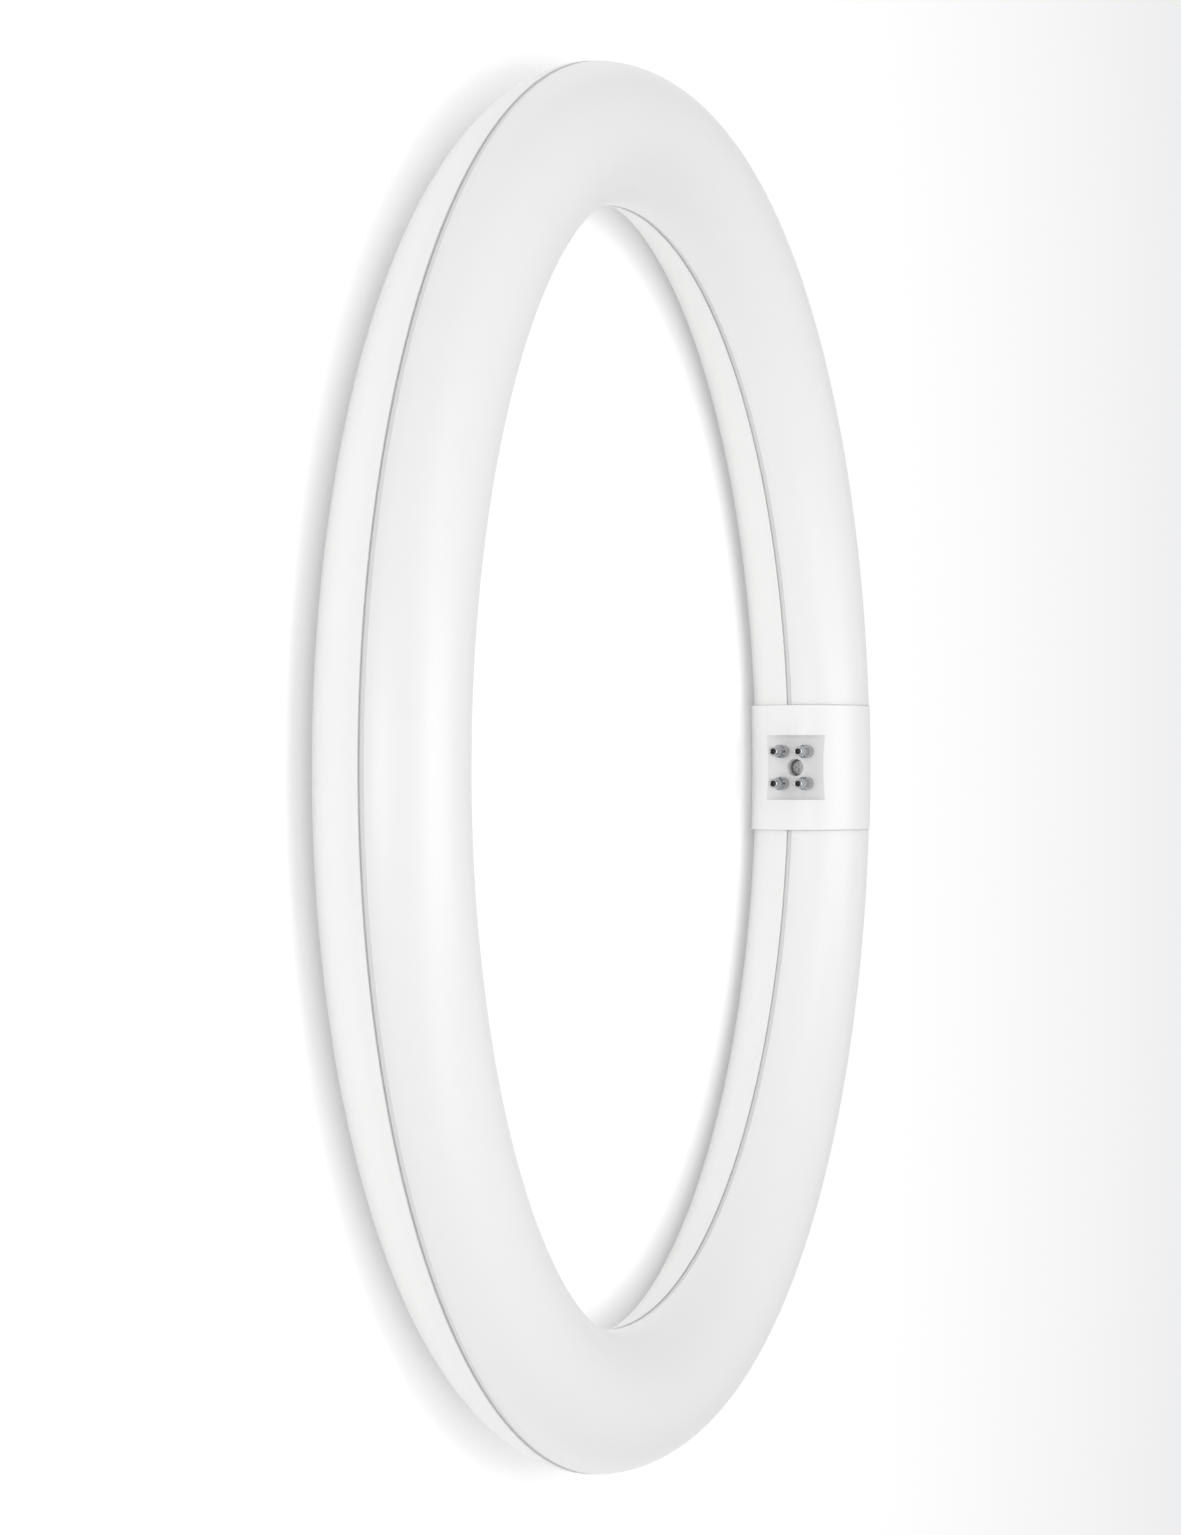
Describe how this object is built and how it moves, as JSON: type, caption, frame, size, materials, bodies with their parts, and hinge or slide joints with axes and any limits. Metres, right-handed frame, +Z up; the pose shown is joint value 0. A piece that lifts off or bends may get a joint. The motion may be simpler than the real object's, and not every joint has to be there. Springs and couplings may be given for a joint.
{
  "type": "circular led tube",
  "caption": "Ring-shaped LED tube: opal front half and white rear half joined at a seam, with a pinned cap on the inner side.",
  "frame": {"origin": "centre of the ring, at the height of the surface that the lamp lies on", "axes": "+Z up along the ring's axis, towards the opal front; +X from the ring's centre to the cap"},
  "size_m": [0.3002, 0.3, 0.0296],
  "materials": {
    "opal_diffuser": "satin opal polycarbonate",
    "white_housing": "satin white moulding",
    "cap_plastic": "satin white moulding",
    "pin_metal": "bright nickel plating",
    "screw_metal": "bright zinc plating",
    "led_board_mask": "white solder mask on an aluminium board",
    "led_package": "white package with a phosphor window",
    "connector_plastic": "natural nylon",
    "driver_laminate": "green solder mask on glass laminate",
    "chip_black": "moulded epoxy",
    "varistor_blue": "dipped epoxy",
    "film_yellow": "potted case",
    "fuse_ceramic": "coated ceramic",
    "can_sleeve": "sleeved aluminium can",
    "coil_ferrite": "ferrite and lacquered wire",
    "wire_insulation": "soft extruded insulation"
  },
  "bodies": {
    "root": {"board_link_1": "connector_plastic", "board_link_2": "connector_plastic", "board_link_3": "connector_plastic", "bridge_rectifier": "chip_black", "bulk_capacitor": "can_sleeve", "cap_base": "cap_plastic", "cap_cover": "cap_plastic", "cap_screw": "screw_metal", "contact_pin_1": "pin_metal", "contact_pin_2": "pin_metal", "contact_pin_3": "pin_metal", "contact_pin_4": "pin_metal", "driver_board": "driver_laminate", "driver_chip": "chip_black", "film_capacitor": "film_yellow", "filter_choke": "coil_ferrite", "freewheel_diode": "chip_black", "front_diffuser": "opal_diffuser", "input_fuse": "fuse_ceramic", "led_board_1": "led_board_mask", "led_board_2": "led_board_mask", "led_board_3": "led_board_mask", "led_board_4": "led_board_mask", "led_chips_1": "led_package", "led_chips_2": "led_package", "led_chips_3": "led_package", "led_chips_4": "led_package", "led_lead_negative": "wire_insulation", "led_lead_positive": "wire_insulation", "output_capacitor": "can_sleeve", "pin_lead_1": "wire_insulation", "pin_lead_2": "wire_insulation", "pin_lead_3": "wire_insulation", "pin_lead_4": "wire_insulation", "power_inductor": "coil_ferrite", "rear_housing": "white_housing", "sense_resistors": "chip_black", "surge_varistor": "varistor_blue"}
  },
  "joints": []
}
